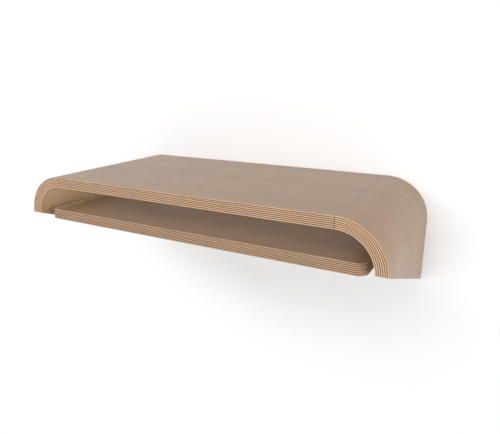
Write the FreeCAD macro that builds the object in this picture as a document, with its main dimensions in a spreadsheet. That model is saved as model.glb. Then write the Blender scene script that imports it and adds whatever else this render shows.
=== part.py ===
import FreeCAD, Part
import Sketcher
import os

# Floating wall desk of bent plywood, with a pull-out tray on ball-bearing slides.
#
# Frame: millimetres, +Z up, the wall is the plane Y = 0 and the front faces -Y. The origin is the
# middle of the row of wall bolts. The right-hand pieces are modelled and the left-hand ones are
# their mirror images.

DIMENSIONS = (
    # the desk's own shape
    ("desk_width", 1016.0, "outside to outside of the bent sides"),
    ("desk_depth", 457.0, "wall to front edge"),
    ("ply_thickness", 28.6, "top, bent sides and tray"),
    ("bend_radius", 115.0, "outside radius of the bent sides"),
    ("top_height", 115.0, "top surface above the wall bolts"),
    ("side_drop_front", 111.0, "top surface to the side's lower edge, at the front"),
    ("side_drop_wall", 288.0, "top surface to the side's lower edge, at the wall"),
    ("edge_ease", 1.0, "radius on the arrises that a hand meets"),
    ("seam_bevel", 0.5, "bevel along the butt joints of top and sides"),
    # the pull-out tray
    ("tray_drop", 98.3, "desk top to tray top"),
    ("tray_gap", 20.4, "clear width between tray end and side"),
    ("tray_recess", 17.5, "tray front behind the desk's front"),
    ("tray_depth", 370.0, "front to back of the tray"),
    ("tray_corner", 24.0, "radius of the tray's front corners"),
    # the back panel and the pair of hanging cleats
    ("back_thickness", 15.0, "back panel"),
    ("back_drop", 160.0, "top surface to the back panel's lower edge"),
    ("back_corner_relief", 4.0, "how much larger its corner radius is than the bend's"),
    ("cleat_thickness", 18.0, "wall cleat, and the cavity behind the back panel"),
    ("cleat_length", 760.0, "both cleats"),
    ("cleat_wall_gap", 1.0, "desk cleat to wall"),
    ("desk_cleat_height", 60.0, "desk cleat at the tip of its bevel, if the bevel ran to the wall"),
    ("wall_cleat_foot", 25.6, "wall bolts to the wall cleat's lower edge"),
    ("bolt_spacing", 203.2, "between wall bolts, half the usual distance between studs"),
    ("bolt_count", 4, "wall bolts"),
    ("bolt_hole", 8.5, "diameter of the holes for the wall bolts"),
    ("bolt_seat", 20.0, "diameter of the counterbores for their heads"),
    ("bolt_seat_depth", 7.0, "depth of those counterbores"),
    # dowels and screws
    ("dowel_diameter", 8.0, "all dowels"),
    ("seam_dowel_length", 40.0, "dowels across the butt joints, half in each piece"),
    ("seam_dowel_pitch", 90.0, "between dowels along a butt joint"),
    ("back_dowel_length", 30.0, "dowels of the back panel"),
    ("back_dowel_bite", 12.0, "how far they enter the top or side"),
    ("back_dowel_pitch", 140.0, "between the dowels along the top"),
    ("screw_shank", 3.6, "diameter of all screws"),
    ("screw_head", 7.0, "diameter of the slide screws' pan heads"),
    ("screw_head_height", 1.8, "height of the pan heads"),
    ("screw_crown", 4.2, "diameter of the flat on top of a pan head"),
    ("screw_brim", 0.8, "height of a pan head's rim"),
    ("screw_length", 16.0, "slide screws under the head"),
    ("screw_point", 3.0, "length of every screw's point"),
    ("cleat_screw_length", 28.0, "countersunk screws of the desk cleat"),
    ("cleat_screw_head", 8.0, "diameter of their heads"),
    ("cleat_screw_sink", 2.2, "height of their countersunk heads"),
    ("cleat_screw_pitch", 170.0, "between them"),
    # the telescopic slides, across (from cabinet to tray), up and along
    ("slide_width", 12.7, "closed slide, cabinet side to tray side"),
    ("slide_height", 35.0, "outer member"),
    ("slide_length", 250.0, "outer member"),
    ("slide_setback", 112.0, "desk front to the slide's front end"),
    ("slide_drop", 6.0, "tray's middle to the slide's middle, so that the tray top hides the slide"),
    ("steel_thickness", 1.2, "rolled strip of the outer and inner members"),
    ("middle_thickness", 1.0, "rolled strip of the middle member"),
    ("middle_start", 3.4, "cabinet side to the middle member's web"),
    ("strip_bend", 1.0, "radius of a strip's middle line where it turns out of its web"),
    ("slot_width", 4.2, "spare screw slots in the outer and inner members"),
    ("slot_length", 10.0, "the same slots, along the slide"),
    ("access_hole", 9.0, "diameter of the middle member's holes, through which screws are driven"),
    ("bumper_length", 8.0, "rubber stop at the back of the outer member"),
    ("bumper_reach", 9.5, "how far it stands out from the web"),
    ("bumper_height", 26.0, "the same stop"),
    ("ball_diameter", 3.5, "all balls"),
    ("ball_play", 0.15, "radial play of a ball in its tracks"),
    ("ball_line", 6.0, "cabinet side to the outer rows of balls"),
    ("ball_pitch", 26.0, "between balls in a row"),
    ("retainer_width", 4.4, "ball retainer strips"),
    ("retainer_thickness", 0.8, "ball retainer strips"),
    ("retainer_length", 118.0, "ball retainer strips"),
    ("retainer_start", 62.0, "slide's front end to the retainers, slide closed"),
    ("pocket_play", 0.1, "radial play of a ball in the retainer"),
)
SEAM_DOWELS = 5
BACK_TOP_DOWELS = 6
BACK_SIDE_DOWEL_DROPS = (12.0, 33.0)
CLEAT_SCREWS = 5
BALLS_IN_ROW = 5
# distances behind the slide's front end
OUTER_SCREW_PLACES = (35.0, 125.0, 215.0)
TRAY_SCREW_PLACES = (25.0, 115.0, 205.0)
OUTER_SLOT_PLACES = (53.0, 197.0)
INNER_SLOT_PLACES = (43.0, 187.0)
# degrees from level: the line from an outer ball to the inner one beside it, and a lip's last point
BALL_SLOPE = 45
LIP_END = 25
OVERRUN = 5.0
CLOSE = 1e-4

# places worked out from the driving dimensions, as expressions in the row frame
HALF_WIDTH = "(size.desk_width / 2)"
SEAM_X = "(size.desk_width / 2 - size.bend_radius)"
INNER_X = "(size.desk_width / 2 - size.ply_thickness)"
INNER_RADIUS = "(size.bend_radius - size.ply_thickness)"
UNDERSIDE_Z = "(size.top_height - size.ply_thickness)"
BEND_Z = "(size.top_height - size.bend_radius)"
FOOT_Z = "(size.top_height - size.side_drop_wall)"
FRONT_FOOT_Z = "(size.top_height - size.side_drop_front)"
TRAY_END_X = f"({INNER_X} - size.tray_gap)"
TRAY_FRONT_Y = "(size.tray_recess - size.desk_depth)"
TRAY_FOOT_Z = "(size.top_height - size.tray_drop - size.ply_thickness)"
SLIDE_X = f"({TRAY_END_X} + size.slide_width)"
SLIDE_Y = "(size.slide_setback - size.desk_depth)"
SLIDE_Z = f"({TRAY_FOOT_Z} + size.ply_thickness / 2 - size.slide_drop)"
TRACK_RADIUS = "(size.ball_diameter / 2 + size.ball_play)"
OUTER_BALL_RISE = f"(size.slide_height / 2 - size.steel_thickness - {TRACK_RADIUS})"
BALL_STEP = f"(2 * {TRACK_RADIUS} + size.middle_thickness)"
# across and up from the slide's middle on the cabinet side
BALL_PLACES = {
    "outer": ("size.ball_line", OUTER_BALL_RISE),
    "inner": (f"(size.ball_line + {BALL_STEP} * cos({BALL_SLOPE} deg))",
              f"({OUTER_BALL_RISE} - {BALL_STEP} * sin({BALL_SLOPE} deg))"),
}
BEVEL_ROOM_Z = f"({UNDERSIDE_Z} - size.desk_cleat_height + size.cleat_thickness)"
BACK_MIDDLE_Y = "(-size.cleat_thickness - size.back_thickness / 2)"

doc = FreeCAD.newDocument("floating_wall_desk")
sheet = doc.addObject("Spreadsheet::Sheet", "size")
nodes = {}


def fill_sheet():
    """Write each driving dimension with its meaning, and name its cell."""
    for row, (alias, value, meaning) in enumerate(DIMENSIONS, start=1):
        sheet.set(f"A{row}", meaning)
        sheet.set(f"B{row}", str(value))
        sheet.setAlias(f"B{row}", alias)
    doc.recompute()


def value_of(expression):
    """The number that an expression of the sheet's cells gives."""
    return float(sheet.evalExpression(str(expression)))


def keep(name, part):
    """Give a finished sub-part its label and list it for export."""
    part.Label = name
    nodes[name] = part
    return part


# ---------------------------------------------------------------- sketches and features

def add_body(name):
    return doc.addObject("PartDesign::Body", name)


def origin_plane(body, role):
    return next(item for item in body.Origin.OriginFeatures if item.Role == role)


def add_sketch(body, name, role, offset="0"):
    """A sketch on one of the body's own origin planes, moved along that plane's normal."""
    sketch = body.newObject("Sketcher::SketchObject", name)
    sketch.AttachmentSupport = (origin_plane(body, role), [""])
    sketch.MapMode = "FlatFace"
    sketch.setExpression("AttachmentOffset.Base.z", str(offset))
    return sketch


def bind_point(sketch, geometry, position, across, up, name):
    """Hold one point of a sketch at two expressions, measured from the sketch's origin."""
    for kind, expression in (("DistanceX", across), ("DistanceY", up)):
        number = value_of(expression)
        index = sketch.addConstraint(Sketcher.Constraint(kind, -1, 1, geometry, position, number))
        sketch.renameConstraint(index, f"{name}_{kind}")
        sketch.setExpression(f"Constraints.{name}_{kind}", str(expression))


def bind_radius(sketch, geometry, radius, name):
    index = sketch.addConstraint(Sketcher.Constraint("Radius", geometry, value_of(radius)))
    sketch.renameConstraint(index, name)
    sketch.setExpression(f"Constraints.{name}", str(radius))


def draw_outline(sketch, corners):
    """A closed outline. A corner is (across, up) or (across, up, radius, centre across, centre up).

    The longer form makes the stretch from that corner to the next an arc.
    """
    first = sketch.GeometryCount
    points = [FreeCAD.Vector(value_of(corner[0]), value_of(corner[1]), 0) for corner in corners]
    ends = []
    for index, corner in enumerate(corners):
        start, end = points[index], points[(index + 1) % len(points)]
        if len(corner) == 2:
            sketch.addGeometry(Part.LineSegment(start, end))
            ends.append((1, 2))
            continue
        centre = FreeCAD.Vector(value_of(corner[3]), value_of(corner[4]), 0)
        middle = (start + end) / 2 - centre
        middle = centre + middle.normalize() * value_of(corner[2])
        arc = Part.Arc(start, middle, end)
        turns_left = (middle - start).cross(end - middle).z > 0
        sketch.addGeometry(arc)
        ends.append((1, 2) if turns_left else (2, 1))
    for index, corner in enumerate(corners):
        after = (index + 1) % len(corners)
        number = first + index
        bind_point(sketch, number, ends[index][0], corner[0], corner[1], f"corner{number}")
        sketch.addConstraint(Sketcher.Constraint("Coincident", number, ends[index][1],
                                                 first + after, ends[after][0]))
        if len(corner) > 2:
            bind_radius(sketch, number, corner[2], f"radius{number}")


def draw_circles(sketch, centres, radius):
    for index, (across, up) in enumerate(centres):
        centre = FreeCAD.Vector(value_of(across), value_of(up), 0)
        sketch.addGeometry(Part.Circle(centre, FreeCAD.Vector(0, 0, 1), value_of(radius)))
        bind_point(sketch, index, 3, across, up, f"centre{index}")
        bind_radius(sketch, index, radius, f"radius{index}")


def pad(body, name, sketch, length, both_ways=False):
    feature = body.newObject("PartDesign::Pad", name)
    feature.Profile = sketch
    feature.setExpression("Length", str(length))
    feature.Midplane = both_ways
    doc.recompute()
    return feature


def pocket_through(body, name, sketch):
    """Cut a sketch's shape out of the body, all the way both ways."""
    before = body.Shape.Volume
    feature = body.newObject("PartDesign::Pocket", name)
    feature.Profile = sketch
    feature.Type = "ThroughAll"
    feature.Midplane = True
    doc.recompute()
    if body.Shape.Volume >= before:
        raise RuntimeError(f"{name} cuts nothing")
    return feature


def edges_where(feature, wanted):
    return [f"Edge{number}" for number, edge in enumerate(feature.Shape.Edges, start=1)
            if wanted(edge.BoundBox)]


def ease_edges(body, name, base, wanted):
    """Round the edges whose bounding boxes pass the test."""
    feature = body.newObject("PartDesign::Fillet", name)
    feature.Base = (base, edges_where(base, wanted))
    feature.setExpression("Radius", "size.edge_ease")
    doc.recompute()
    return feature


def bevel_edges(body, name, base, wanted):
    feature = body.newObject("PartDesign::Chamfer", name)
    feature.Base = (base, edges_where(base, wanted))
    feature.setExpression("Size", "size.seam_bevel")
    doc.recompute()
    return feature


def near(value, expression):
    return abs(value - value_of(expression)) < CLOSE


def lies_in(low, high, expression):
    """True if a bounding box's reach along one axis is just the place that the expression gives."""
    return near(low, expression) and near(high, expression)


def off_wall(box):
    """True if an edge isn't one of those that touch the wall all along."""
    return box.YMin < -CLOSE


# ---------------------------------------------------------------- primitives, copies, booleans

def place(part, across="0", along="0", up="0", turn=None):
    """Set a part's placement from expressions, after an optional (axis, angle) turn."""
    if turn:
        part.Placement = FreeCAD.Placement(FreeCAD.Vector(), FreeCAD.Rotation(*turn))
    part.setExpression("Placement.Base.x", str(across))
    part.setExpression("Placement.Base.y", str(along))
    part.setExpression("Placement.Base.z", str(up))
    return part


def add_sized(kind, name, **sizes):
    part = doc.addObject(kind, name)
    for size_name, expression in sizes.items():
        part.setExpression(size_name, str(expression))
    return part


def group(name, members):
    part = doc.addObject("Part::Compound", name)
    part.Links = members
    doc.recompute()
    return part


def copy_of(part, name):
    link = doc.addObject("App::Link", name)
    link.LinkedObject = part
    return link


def cut(name, base, tools):
    """Take the tools, which are other sub-parts seated in this one, out of the base."""
    tool = tools[0] if len(tools) == 1 else group(f"{name}_tools", tools)
    part = doc.addObject("Part::Cut", name)
    part.Base = base
    part.Tool = tool
    doc.recompute()
    if part.Shape.Volume >= base.Shape.Volume:
        raise RuntimeError(f"{name} loses nothing to its cut")
    return part


def mirror_to_left(right_name):
    """The left-hand piece, which is the right-hand one mirrored in the plane X = 0."""
    left_name = right_name.replace("right", "left")
    part = doc.addObject("Part::Mirroring", left_name)
    part.Source = nodes[right_name]
    part.Normal = FreeCAD.Vector(1, 0, 0)
    return keep(left_name, part)


# ---------------------------------------------------------------- dowels and screws

ALONG_X = (FreeCAD.Vector(0, 1, 0), 90)
ALONG_Y = (FreeCAD.Vector(1, 0, 0), -90)
HALF_TURN = (FreeCAD.Vector(0, 0, 1), 180)
TO_FRONT = (FreeCAD.Vector(0, 0, 1), -90)


def add_dowel(name, length, across, along, up, turn=None):
    dowel = add_sized("Part::Cylinder", name, Radius="size.dowel_diameter / 2", Height=length)
    return place(dowel, across, along, up, turn)


def make_seam_dowels():
    """Dowels across the butt joint between the top and the bent side."""
    dowels = []
    for index in range(SEAM_DOWELS):
        step = index - (SEAM_DOWELS - 1) / 2
        dowels.append(add_dowel(
            f"seam_dowel_{index}", "size.seam_dowel_length",
            f"{SEAM_X} - size.seam_dowel_length / 2",
            f"-size.desk_depth / 2 + {step} * size.seam_dowel_pitch",
            "size.top_height - size.ply_thickness / 2", ALONG_X))
    keep("right_seam_dowels", group("right_seam_dowels", dowels))
    mirror_to_left("right_seam_dowels")


def make_back_dowels():
    """Dowels that stand in the back panel's upper edge and ends."""
    dowels = []
    for index in range(BACK_TOP_DOWELS):
        step = index - (BACK_TOP_DOWELS - 1) / 2
        dowels.append(add_dowel(
            f"back_top_dowel_{index}", "size.back_dowel_length",
            f"{step} * size.back_dowel_pitch", BACK_MIDDLE_Y,
            f"{UNDERSIDE_Z} + size.back_dowel_bite - size.back_dowel_length"))
    for index, drop in enumerate(BACK_SIDE_DOWEL_DROPS):
        for hand, start in (("right", f"{INNER_X} + size.back_dowel_bite - size.back_dowel_length"),
                            ("left", f"-{INNER_X} - size.back_dowel_bite")):
            dowels.append(add_dowel(f"back_{hand}_dowel_{index}", "size.back_dowel_length",
                                    start, BACK_MIDDLE_Y, f"{BEND_Z} - {drop}", ALONG_X))
    keep("back_panel_dowels", group("back_panel_dowels", dowels))


def turn_screw(name, corners):
    """A screw along +X, its head's underside or its seat's rim at X = 0, turned from an outline."""
    body = add_body(name)
    sketch = add_sketch(body, f"{name}_outline", "XZ_Plane")
    draw_outline(sketch, corners)
    feature = body.newObject("PartDesign::Revolution", f"{name}_turned")
    feature.Profile = sketch
    feature.ReferenceAxis = (sketch, ["H_Axis"])
    feature.Angle = 360
    doc.recompute()
    return body


def make_pan_screw():
    return turn_screw("pan_screw", (
        ("-size.screw_head_height", "0"),
        ("-size.screw_head_height", "size.screw_crown / 2"),
        ("-size.screw_brim", "size.screw_head / 2"),
        ("0", "size.screw_head / 2"),
        ("0", "size.screw_shank / 2"),
        ("size.screw_length - size.screw_point", "size.screw_shank / 2"),
        ("size.screw_length", "0")))


def make_cleat_screw():
    return turn_screw("cleat_screw", (
        ("0", "0"),
        ("0", "size.cleat_screw_head / 2"),
        ("size.cleat_screw_sink", "size.screw_shank / 2"),
        ("size.cleat_screw_length - size.screw_point", "size.screw_shank / 2"),
        ("size.cleat_screw_length", "0")))


def make_desk_cleat_screws():
    """A row of countersunk screws from the back of the desk cleat into the back panel."""
    screw = make_cleat_screw()
    copies = []
    for index in range(CLEAT_SCREWS):
        step = index - (CLEAT_SCREWS - 1) / 2
        copies.append(place(copy_of(screw, f"cleat_screw_{index}"),
                            f"{step} * size.cleat_screw_pitch", "-size.cleat_wall_gap",
                            f"({UNDERSIDE_Z} + {BEVEL_ROOM_Z}) / 2", TO_FRONT))
    keep("desk_cleat_screws", group("desk_cleat_screws", copies))


def make_slide_screws():
    """Pan head screws: outer member and spacer to the side, and inner member to the tray's end."""
    screw = make_pan_screw()
    outer, tray = [], []
    for index, run in enumerate(OUTER_SCREW_PLACES):
        outer.append(place(copy_of(screw, f"outer_screw_{index}"),
                           f"{SLIDE_X} - size.steel_thickness", f"{SLIDE_Y} + {run}", SLIDE_Z))
    for index, run in enumerate(TRAY_SCREW_PLACES):
        tray.append(place(copy_of(screw, f"tray_screw_{index}"),
                          f"{TRAY_END_X} + size.steel_thickness", f"{SLIDE_Y} + {run}", SLIDE_Z,
                          HALF_TURN))
    for name, screws in (("right_slide_screws", outer), ("right_tray_screws", tray)):
        keep(name, group(name, screws))
        mirror_to_left(name)


# ---------------------------------------------------------------- top, sides, back and cleats

def make_top_panel():
    """The flat middle of the top, between the two butt joints."""
    body = add_body("top_blank")
    half_top = value_of(SEAM_X)
    sketch = add_sketch(body, "top_section", "XZ_Plane")
    draw_outline(sketch, ((f"-{SEAM_X}", UNDERSIDE_Z), (SEAM_X, UNDERSIDE_Z),
                          (SEAM_X, "size.top_height"), (f"-{SEAM_X}", "size.top_height")))
    slab = pad(body, "top_slab", sketch, "size.desk_depth")
    eased = ease_edges(body, "top_eased", slab, lambda box: (
        box.XLength > half_top and lies_in(box.YMin, box.YMax, "-size.desk_depth")))
    bevel_edges(body, "top_seam_bevels", eased, lambda box: box.XLength < CLOSE and off_wall(box))
    keep("top_panel", cut("top_panel", body, [nodes["right_seam_dowels"], nodes["left_seam_dowels"],
                                              nodes["back_panel_dowels"]]))


def make_bent_side():
    """A moulded quarter bend that runs down into the side, cut off on a slope towards the front."""
    body = add_body("side_blank")
    sketch = add_sketch(body, "side_section", "XZ_Plane")
    draw_outline(sketch, (
        (SEAM_X, "size.top_height", "size.bend_radius", SEAM_X, BEND_Z),
        (HALF_WIDTH, BEND_Z),
        (HALF_WIDTH, FOOT_Z),
        (INNER_X, FOOT_Z),
        (INNER_X, BEND_Z, INNER_RADIUS, SEAM_X, BEND_Z),
        (SEAM_X, UNDERSIDE_Z)))
    bend = pad(body, "side_bend", sketch, "size.desk_depth")
    slope = add_sketch(body, "side_slope", "YZ_Plane")
    rise = f"({FRONT_FOOT_Z} - {FOOT_Z}) / size.desk_depth"
    draw_outline(slope, (
        ("0", FOOT_Z),
        ("0", f"{FOOT_Z} - {OVERRUN}"),
        (f"-size.desk_depth - {OVERRUN}", f"{FOOT_Z} - {OVERRUN}"),
        (f"-size.desk_depth - {OVERRUN}", f"{FRONT_FOOT_Z} + {OVERRUN} * {rise}")))
    sloped = pocket_through(body, "side_slope_cut", slope)
    eased = ease_edges(body, "side_eased", sloped, is_side_arris)
    bevel_edges(body, "side_seam_bevels", eased,
                lambda box: lies_in(box.XMin, box.XMax, SEAM_X) and off_wall(box))
    keep("right_bent_side", cut("right_bent_side", body, [
        nodes["right_seam_dowels"], nodes["back_panel_dowels"], nodes["right_slide_screws"]]))
    mirror_to_left("right_bent_side")


def is_side_arris(box):
    """True for the front and lower edges of the side, and false at the joint and the wall."""
    at_front = lies_in(box.YMin, box.YMax, "-size.desk_depth")
    at_foot = box.ZMin < value_of(FRONT_FOOT_Z) + CLOSE
    at_seam = near(box.XMax, SEAM_X)
    return (at_front or at_foot) and off_wall(box) and not at_seam


def make_back_panel():
    """A stiffening panel between the sides, rounded to clear the bends."""
    body = add_body("back_blank")
    radius = f"({INNER_RADIUS} + size.back_corner_relief)"
    centre_x = f"({SEAM_X} - size.back_corner_relief)"
    centre_z = f"({BEND_Z} - size.back_corner_relief)"
    foot = "(size.top_height - size.back_drop)"
    sketch = add_sketch(body, "back_outline", "XZ_Plane", "size.cleat_thickness")
    draw_outline(sketch, (
        (f"-{INNER_X}", foot),
        (INNER_X, foot),
        (INNER_X, centre_z, radius, centre_x, centre_z),
        (centre_x, UNDERSIDE_Z),
        (f"-{centre_x}", UNDERSIDE_Z, radius, f"-{centre_x}", centre_z),
        (f"-{INNER_X}", centre_z)))
    pad(body, "back_sheet", sketch, "size.back_thickness")
    keep("back_panel", cut("back_panel", body, [nodes["back_panel_dowels"],
                                                nodes["desk_cleat_screws"]]))


def make_cleats():
    """Two bevelled rails: the desk's hooks down behind the one that is bolted to the wall."""
    gap_z = f"({BEVEL_ROOM_Z} - size.cleat_thickness + size.cleat_wall_gap)"
    desk = add_body("desk_cleat_blank")
    sketch = add_sketch(desk, "desk_cleat_section", "YZ_Plane")
    draw_outline(sketch, (
        ("-size.cleat_thickness", UNDERSIDE_Z),
        ("-size.cleat_thickness", BEVEL_ROOM_Z),
        ("-size.cleat_wall_gap", gap_z),
        ("-size.cleat_wall_gap", UNDERSIDE_Z)))
    pad(desk, "desk_cleat_rail", sketch, "size.cleat_length", both_ways=True)
    keep("desk_cleat", cut("desk_cleat", desk, [nodes["desk_cleat_screws"]]))

    wall = add_body("wall_cleat")
    sketch = add_sketch(wall, "wall_cleat_section", "YZ_Plane")
    draw_outline(sketch, (
        ("-size.cleat_thickness", BEVEL_ROOM_Z),
        ("-size.cleat_thickness", "-size.wall_cleat_foot"),
        ("0", "-size.wall_cleat_foot"),
        ("0", f"{BEVEL_ROOM_Z} - size.cleat_thickness")))
    pad(wall, "wall_cleat_rail", sketch, "size.cleat_length", both_ways=True)
    drill_wall_bolts(wall)
    keep("wall_cleat", wall)


def drill_wall_bolts(wall):
    """Counterbored bolt holes in a row along the wall cleat."""
    before = wall.Shape.Volume
    sketch = add_sketch(wall, "bolt_places", "XZ_Plane", "size.cleat_thickness")
    draw_circles(sketch, (("-(size.bolt_count - 1) * size.bolt_spacing / 2", "0"),),
                 "size.bolt_hole / 2")
    doc.recompute()
    hole = wall.newObject("PartDesign::Hole", "bolt_hole")
    hole.Profile = sketch
    hole.DepthType = "ThroughAll"
    hole.Threaded = False
    hole.ThreadType = "None"
    hole.setExpression("Diameter", "size.bolt_hole")
    hole.HoleCutType = "Counterbore"
    hole.HoleCutCustomValues = True
    hole.setExpression("HoleCutDiameter", "size.bolt_seat")
    hole.setExpression("HoleCutDepth", "size.bolt_seat_depth")
    doc.recompute()
    row = wall.newObject("PartDesign::LinearPattern", "bolt_row")
    row.Originals = [hole]
    row.Direction = (sketch, ["H_Axis"])
    row.setExpression("Length", "(size.bolt_count - 1) * size.bolt_spacing")
    row.setExpression("Occurrences", "size.bolt_count")
    wall.Tip = row
    doc.recompute()
    if wall.Shape.Volume >= before:
        raise RuntimeError("the wall bolt holes cut nothing")


# ---------------------------------------------------------------- tray

def make_tray():
    """The pull-out board, with rounded front corners."""
    body = add_body("tray_blank")
    back_y = f"({TRAY_FRONT_Y} + size.tray_depth)"
    corner_y = f"({TRAY_FRONT_Y} + size.tray_corner)"
    corner_x = f"({TRAY_END_X} - size.tray_corner)"
    sketch = add_sketch(body, "tray_outline", "XY_Plane", TRAY_FOOT_Z)
    draw_outline(sketch, (
        (f"-{TRAY_END_X}", back_y),
        (f"-{TRAY_END_X}", corner_y, "size.tray_corner", f"-{corner_x}", corner_y),
        (f"-{corner_x}", TRAY_FRONT_Y),
        (corner_x, TRAY_FRONT_Y, "size.tray_corner", corner_x, corner_y),
        (TRAY_END_X, corner_y),
        (TRAY_END_X, back_y)))
    board = pad(body, "tray_slab", sketch, "size.ply_thickness")
    ease_edges(body, "tray_eased", board, lambda box: (
        box.ZLength < CLOSE and not lies_in(box.YMin, box.YMax, back_y)))
    keep("tray_board", cut("tray_board", body, [nodes["right_tray_screws"],
                                                nodes["left_tray_screws"]]))


# ---------------------------------------------------------------- telescopic slides

def seat_on_slide(part):
    """Put a piece drawn in the slide's own axes in its place on the right.

    Those axes start at the slide's front end, against the spacer: x runs across to the tray, -y
    runs back along the slide and z is up.
    """
    return place(part, SLIDE_X, SLIDE_Y, SLIDE_Z, HALF_TURN)


def at_angle(arc, angle, radius):
    """Where a ray at an angle in degrees from an arc's centre meets a circle round that centre."""
    across, up = arc[:2]
    return f"{across} + {radius} * cos({angle} deg)", f"{up} + {radius} * sin({angle} deg)"


def strip_side(arcs, half_thickness, side):
    """One side of a rolled strip: its corners on the left (1) or right (-1) of the way along it.

    An arc of the strip's middle line is (centre across, centre up, radius, first angle, last angle).
    Straight stretches join the arcs, apart from those that meet in one point.
    """
    corners = []
    for arc, after in zip(arcs, arcs[1:] + [None]):
        across, up, middle_radius, first, last = arc
        turn = 1 if last < first else -1
        radius = f"({middle_radius} + {turn * side} * {half_thickness})"
        corners.append((*at_angle(arc, first, radius), radius, across, up))
        end = at_angle(arc, last, middle_radius)
        start = at_angle(after, after[3], after[2]) if after else ("0", "0")
        if not all(near(value_of(a), b) for a, b in zip(start, end)):
            corners.append(at_angle(arc, last, radius))
    return corners


def turn_back(corners):
    """The same corners in the other order, with each arc's data at its new first corner."""
    ends = [corner[:2] for corner in corners]
    shapes = [corner[2:] for corner in corners]
    return [end + shape for end, shape in zip(reversed(ends), shapes[-2::-1] + [()])]


def lower_half(arcs):
    """The arcs that come before those of a strip's upper half: their mirror images below."""
    return [(across, f"-{up}", radius, -last, -first) for across, up, radius, first, last
            in reversed(arcs)]


def make_member(name, upper_arcs, thickness, length):
    """A slide member rolled from steel strip, from the arcs of its section's upper half."""
    arcs = lower_half(upper_arcs) + upper_arcs
    half = f"{thickness} / 2"
    body = add_body(name)
    section = add_sketch(body, f"{name}_section", "XZ_Plane")
    draw_outline(section, strip_side(arcs, half, 1) + turn_back(strip_side(arcs, half, -1)))
    pad(body, f"{name}_strip", section, length)
    return seat_on_slide(body)


def punch_slots(body, runs):
    """Spare screw slots through a member's web."""
    radius = "size.slot_width / 2"
    sketch = add_sketch(body, f"{body.Name}_slots", "YZ_Plane")
    for run in runs:
        front = f"(-{run} + size.slot_length / 2 - {radius})"
        back = f"(-{run} - size.slot_length / 2 + {radius})"
        draw_outline(sketch, (
            (back, f"-{radius}"),
            (front, f"-{radius}", radius, front, "0"),
            (f"{front} + {radius}", "0", radius, front, "0"),
            (front, radius),
            (back, radius, radius, back, "0"),
            (f"{back} - {radius}", "0", radius, back, "0")))
    pocket_through(body, f"{body.Name}_slot_cuts", sketch)


def punch_access_holes(body):
    """Holes in the middle member's web in front of the outer member's screws."""
    sketch = add_sketch(body, "access_holes", "YZ_Plane")
    draw_circles(sketch, [(f"-{run}", "0") for run in OUTER_SCREW_PLACES], "size.access_hole / 2")
    pocket_through(body, "access_hole_cuts", sketch)


def make_slide_members():
    """The three members, whose lips curl round the balls between them."""
    steel, middle_steel, bend = "size.steel_thickness", "size.middle_thickness", "size.strip_bend"
    outer_ball, inner_ball = BALL_PLACES["outer"], BALL_PLACES["inner"]
    thick_track = f"({TRACK_RADIUS} + {steel} / 2)"
    thin_track = f"({TRACK_RADIUS} + {middle_steel} / 2)"
    moving_length = "(size.slide_length - size.bumper_length)"

    outer = make_member("slide_outer_blank", [
        (f"({steel} / 2 + {bend})", f"({outer_ball[1]} + {thick_track} - {bend})", bend, 180, 90),
        (*outer_ball, thick_track, 90, LIP_END)], steel, "size.slide_length")
    middle = make_member("slide_middle_blank", [
        (f"(size.middle_start + {middle_steel} / 2 + {bend})",
         f"({outer_ball[1]} - {thin_track} - {bend})", bend, 180, 90),
        (*outer_ball, thin_track, 270, 360 - BALL_SLOPE),
        (*inner_ball, thin_track, 180 - BALL_SLOPE, LIP_END)], middle_steel, moving_length)
    inner = make_member("slide_inner_blank", [
        (f"(size.slide_width - {steel} / 2 - {bend})",
         f"({inner_ball[1]} - {thick_track} - {bend})", bend, 0, 90),
        (*inner_ball, thick_track, 270, 180 + LIP_END)], steel, moving_length)
    punch_slots(outer, OUTER_SLOT_PLACES)
    punch_slots(inner, INNER_SLOT_PLACES)
    punch_access_holes(middle)
    keep("right_slide_outer", cut("right_slide_outer", outer, [nodes["right_slide_screws"]]))
    keep("right_slide_middle", middle)
    keep("right_slide_inner", cut("right_slide_inner", inner, [nodes["right_tray_screws"]]))


def make_spacer():
    """A strip of solid wood that carries the slide, its back shaped to the side's bend."""
    top = f"({SLIDE_Z} + size.slide_height / 2)"
    foot = f"({SLIDE_Z} - size.slide_height / 2)"
    body = add_body("spacer_blank")
    sketch = add_sketch(body, "spacer_section", "XZ_Plane", f"-{SLIDE_Y} - size.slide_length")
    draw_outline(sketch, (
        (SLIDE_X, foot),
        (INNER_X, foot),
        (INNER_X, BEND_Z, INNER_RADIUS, SEAM_X, BEND_Z),
        (f"{SEAM_X} + sqrt({INNER_RADIUS} ^ 2 - ({top} - {BEND_Z}) ^ 2)", top),
        (SLIDE_X, top)))
    pad(body, "spacer_strip", sketch, "size.slide_length")
    keep("right_slide_spacer", cut("right_slide_spacer", body, [nodes["right_slide_screws"]]))


def make_bumper():
    """The rubber block in the back of the outer member, which the closed slide rests against."""
    block = add_sized("Part::Box", "right_slide_bumper", Length="size.bumper_reach",
                      Width="size.bumper_length", Height="size.bumper_height")
    place(block, f"{SLIDE_X} - size.steel_thickness - size.bumper_reach",
          f"{SLIDE_Y} + size.slide_length - size.bumper_length",
          f"{SLIDE_Z} - size.bumper_height / 2")
    doc.recompute()
    keep("right_slide_bumper", block)


def ball_run(index):
    """How far behind the slide's front end a ball of a row lies, as an expression."""
    step = index - (BALLS_IN_ROW - 1) / 2
    return f"(size.retainer_start + size.retainer_length / 2 + {step} * size.ball_pitch)"


def make_balls(row):
    """The two rows of balls between a pair of members."""
    across, rise = BALL_PLACES[row]
    balls = []
    for sign in (1, -1):
        for index in range(BALLS_IN_ROW):
            ball = add_sized("Part::Sphere", f"{row}_ball_{index}", Radius="size.ball_diameter / 2")
            balls.append(place(ball, across, f"-{ball_run(index)}", f"{sign} * {rise}"))
    name = f"right_{row}_balls"
    keep(name, seat_on_slide(group(name, balls)))


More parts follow.
